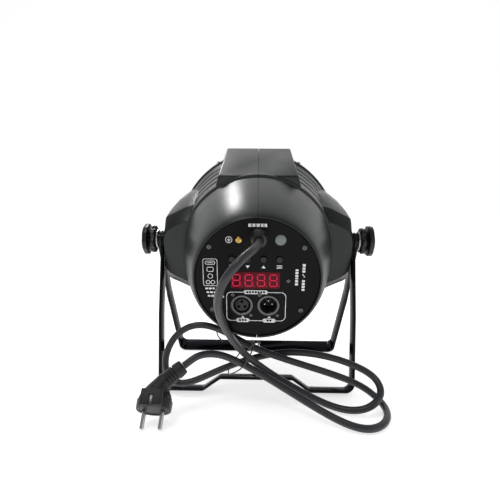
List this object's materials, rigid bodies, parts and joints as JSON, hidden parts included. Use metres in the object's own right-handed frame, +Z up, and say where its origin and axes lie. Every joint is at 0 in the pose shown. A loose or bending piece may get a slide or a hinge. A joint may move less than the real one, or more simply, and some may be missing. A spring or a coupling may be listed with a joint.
{
  "type": "par can light",
  "caption": "LED par can stage light on a double yoke with side clamping knobs, rear control panel with display and connectors, and a mains lead with an angled plug.",
  "frame": {"origin": "floor point under the middle of the light's box, leaving out the lead and what is on it", "axes": "+Z up, +Y towards the lens front, -Y towards the rear control panel, +X to the right seen from behind; the yoke pivot runs along X"},
  "size_m": [0.2957, 0.3039, 0.3099],
  "materials": {
    "cast_housing": "semi-gloss dark grey-black paint with slight orange peel",
    "panel_black": "matt black paint with white printed icons",
    "yoke_gloss": "gloss black powder coat",
    "black_plastic": "satin black plastic",
    "rubber": "matt black rubber",
    "zinc_steel": "bright zinc plate",
    "black_steel": "blackened steel",
    "brass": "plain brass",
    "aluminium": "mill finish",
    "front_glass": "clear toughened glass",
    "lens_plate": "clear lenses over a black plate",
    "display_red": "dark red filter over a segment display",
    "circuit_board": "green solder resist",
    "cord_pvc": "satin grey-black PVC sheath",
    "nickel": "nickel plate"
  },
  "bodies": {
    "front_yoke": {"front_yoke": "yoke_gloss", "mains_cord": "cord_pvc", "plug_body": "rubber", "plug_pin_1": "nickel", "plug_pin_2": "nickel", "cord_tie": "rubber"},
    "housing": {"housing_half_right": "cast_housing", "housing_half_left": "cast_housing", "front_bezel": "cast_housing", "control_panel": "panel_black", "fan_frame": "black_plastic", "gland_body": "black_plastic", "gland_nut": "black_plastic", "gland_locknut": "black_plastic", "xlr_out_insert": "black_plastic", "xlr_in_insert": "black_plastic", "yoke_spacer_left": "black_plastic", "yoke_spacer_right": "black_plastic", "front_gasket": "rubber", "panel_gasket": "rubber", "friction_washer_left": "rubber", "friction_washer_right": "rubber", "bezel_screw_1": "zinc_steel", "bezel_screw_2": "zinc_steel", "bezel_screw_3": "zinc_steel", "bezel_screw_4": "zinc_steel", "board_screw_1": "zinc_steel", "board_screw_2": "zinc_steel", "clamp_washer_left": "zinc_steel", "clamp_washer_right": "zinc_steel", "xlr_out_shell": "black_steel", "xlr_in_shell": "black_steel", "xlr_out_screw_1": "black_steel", "xlr_out_screw_2": "black_steel", "xlr_in_screw_1": "black_steel", "xlr_in_screw_2": "black_steel", "panel_screw_1": "black_steel", "panel_screw_2": "black_steel", "panel_screw_3": "black_steel", "panel_screw_4": "black_steel", "ground_screw": "brass", "heat_sink": "aluminium", "led_board": "aluminium", "power_supply": "aluminium", "front_glass": "front_glass", "lens_plate": "lens_plate", "display": "display_red", "driver_board": "circuit_board", "panel_board": "circuit_board"},
    "rear_yoke": {"rear_yoke": "yoke_gloss"},
    "fan_rotor": {"fan_rotor": "black_plastic"},
    "knob_left": {"knob_left": "black_plastic", "knob_stud_left": "zinc_steel"},
    "knob_right": {"knob_right": "black_plastic", "knob_stud_right": "zinc_steel"},
    "button_1": {"button_1": "black_plastic"},
    "button_2": {"button_2": "black_plastic"},
    "button_3": {"button_3": "black_plastic"},
    "button_4": {"button_4": "black_plastic"}
  },
  "joints": [
    {"name": "housing_tilt", "type": "hinge", "parent": "front_yoke", "child": "housing", "pos_m": [0, 0.00476, 0.187], "axis": [1, 0, 0], "range_deg": [-70, 60], "deforming": ["mains_cord", "cord_tie"]},
    {"name": "rear_yoke_fold", "type": "hinge", "parent": "front_yoke", "child": "rear_yoke", "pos_m": [0, 0.00476, 0.187], "axis": [1, 0, 0], "range_deg": [-30, 60]},
    {"name": "knob_left_turn", "type": "hinge", "parent": "housing", "child": "knob_left", "pos_m": [0, 0.00476, 0.187], "axis": [-1, 0, 0], "continuous": true},
    {"name": "knob_right_turn", "type": "hinge", "parent": "housing", "child": "knob_right", "pos_m": [0, 0.00476, 0.187], "axis": [1, 0, 0], "continuous": true},
    {"name": "fan_spin", "type": "hinge", "parent": "housing", "child": "fan_rotor", "pos_m": [0, 0.00657, 0.17767], "axis": [0, 0.9816, 0.1908], "continuous": true},
    {"name": "button_1_press", "type": "slide", "parent": "housing", "child": "button_1", "axis": [0, 0.9816, 0.1908], "range_m": [0, 0.0006], "stiffness_N_per_m": 400},
    {"name": "button_2_press", "type": "slide", "parent": "housing", "child": "button_2", "axis": [0, 0.9816, 0.1908], "range_m": [0, 0.0006], "stiffness_N_per_m": 400},
    {"name": "button_3_press", "type": "slide", "parent": "housing", "child": "button_3", "axis": [0, 0.9816, 0.1908], "range_m": [0, 0.0006], "stiffness_N_per_m": 400},
    {"name": "button_4_press", "type": "slide", "parent": "housing", "child": "button_4", "axis": [0, 0.9816, 0.1908], "range_m": [0, 0.0006], "stiffness_N_per_m": 400}
  ]
}
